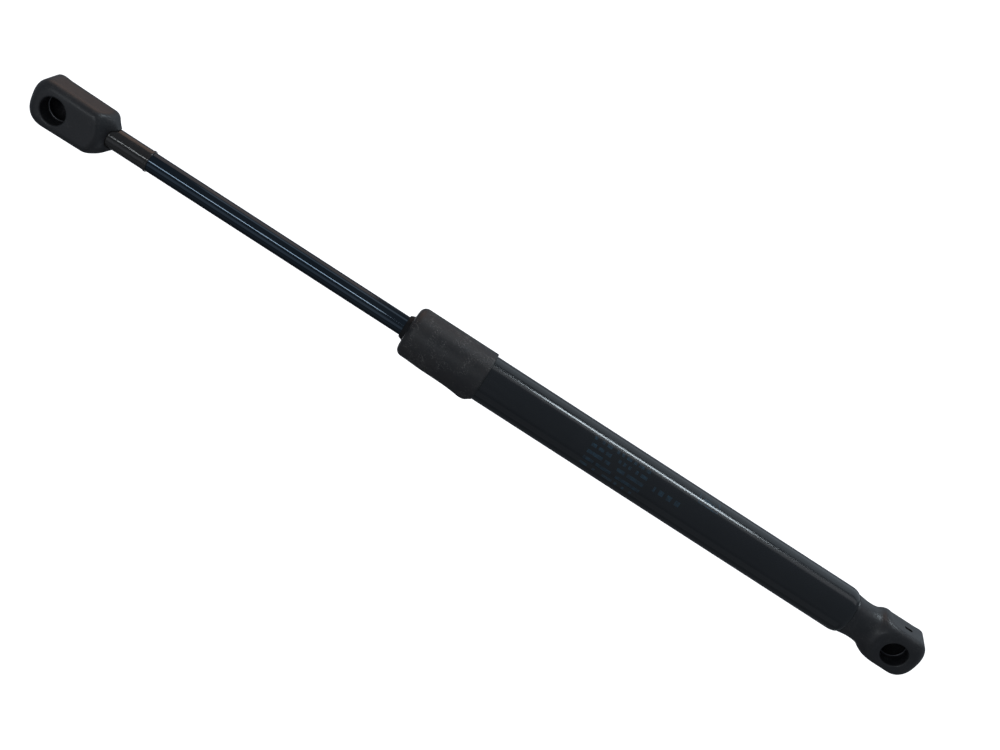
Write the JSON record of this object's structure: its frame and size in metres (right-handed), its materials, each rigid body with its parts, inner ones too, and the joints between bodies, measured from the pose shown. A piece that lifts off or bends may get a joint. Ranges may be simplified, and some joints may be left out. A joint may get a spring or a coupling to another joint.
{
  "type": "gas strut stay",
  "caption": "Gas spring stay with a ball socket at each end: a black tube with an end cap, and a polished rod that slides in and turns.",
  "frame": {"origin": "on the strut's axis, midway between the two tips, with the rod fully out", "axes": "+X along the strut towards the rod end, +Z the way both ball mouths open, +Y across the sockets"},
  "size_m": [0.3962, 0.0222, 0.0208],
  "materials": {
    "black_paint": "smooth gloss black paint on steel, slightly worn",
    "black_rod": "polished steel rod, hardened to a blue-black",
    "socket_plastic": "satin black glass-filled plastic",
    "cap_plastic": "matt black plastic, scuffed and dusty",
    "ring_plastic": "grey low-friction plastic",
    "rubber": "black elastomer",
    "steel": "turned steel",
    "spring_steel": "bright spring wire",
    "guide_metal": "turned aluminium",
    "bush_metal": "bronze-coloured bearing metal"
  },
  "bodies": {
    "tube": {"pressure_tube": "black_paint", "guard_cap": "cap_plastic", "wiper_ring": "rubber", "rod_guide": "guide_metal", "guide_bush": "bush_metal", "guide_o_ring": "rubber", "rod_seal": "rubber", "seal_backing_ring": "steel", "end_plug": "steel", "end_plug_o_ring": "rubber", "tube_socket": "socket_plastic", "tube_socket_clip": "spring_steel"},
    "ring": {"piston_ring": "ring_plastic"},
    "rod": {"piston_rod": "black_rod", "rod_sleeve": "cap_plastic", "rod_socket": "socket_plastic", "rod_socket_clip": "spring_steel", "support_washer": "steel", "orifice_disc": "bush_metal", "piston": "steel", "piston_nut": "steel"}
  },
  "joints": [
    {"name": "rod_slide", "type": "slide", "parent": "tube", "child": "ring", "axis": [-1, 0, 0], "range_m": [0, 0.11], "stiffness_N_per_m": 750, "springref_m": -0.4},
    {"name": "rod_turn", "type": "hinge", "parent": "ring", "child": "rod", "pos_m": [0, 0, 0], "axis": [1, 0, 0], "continuous": true}
  ]
}
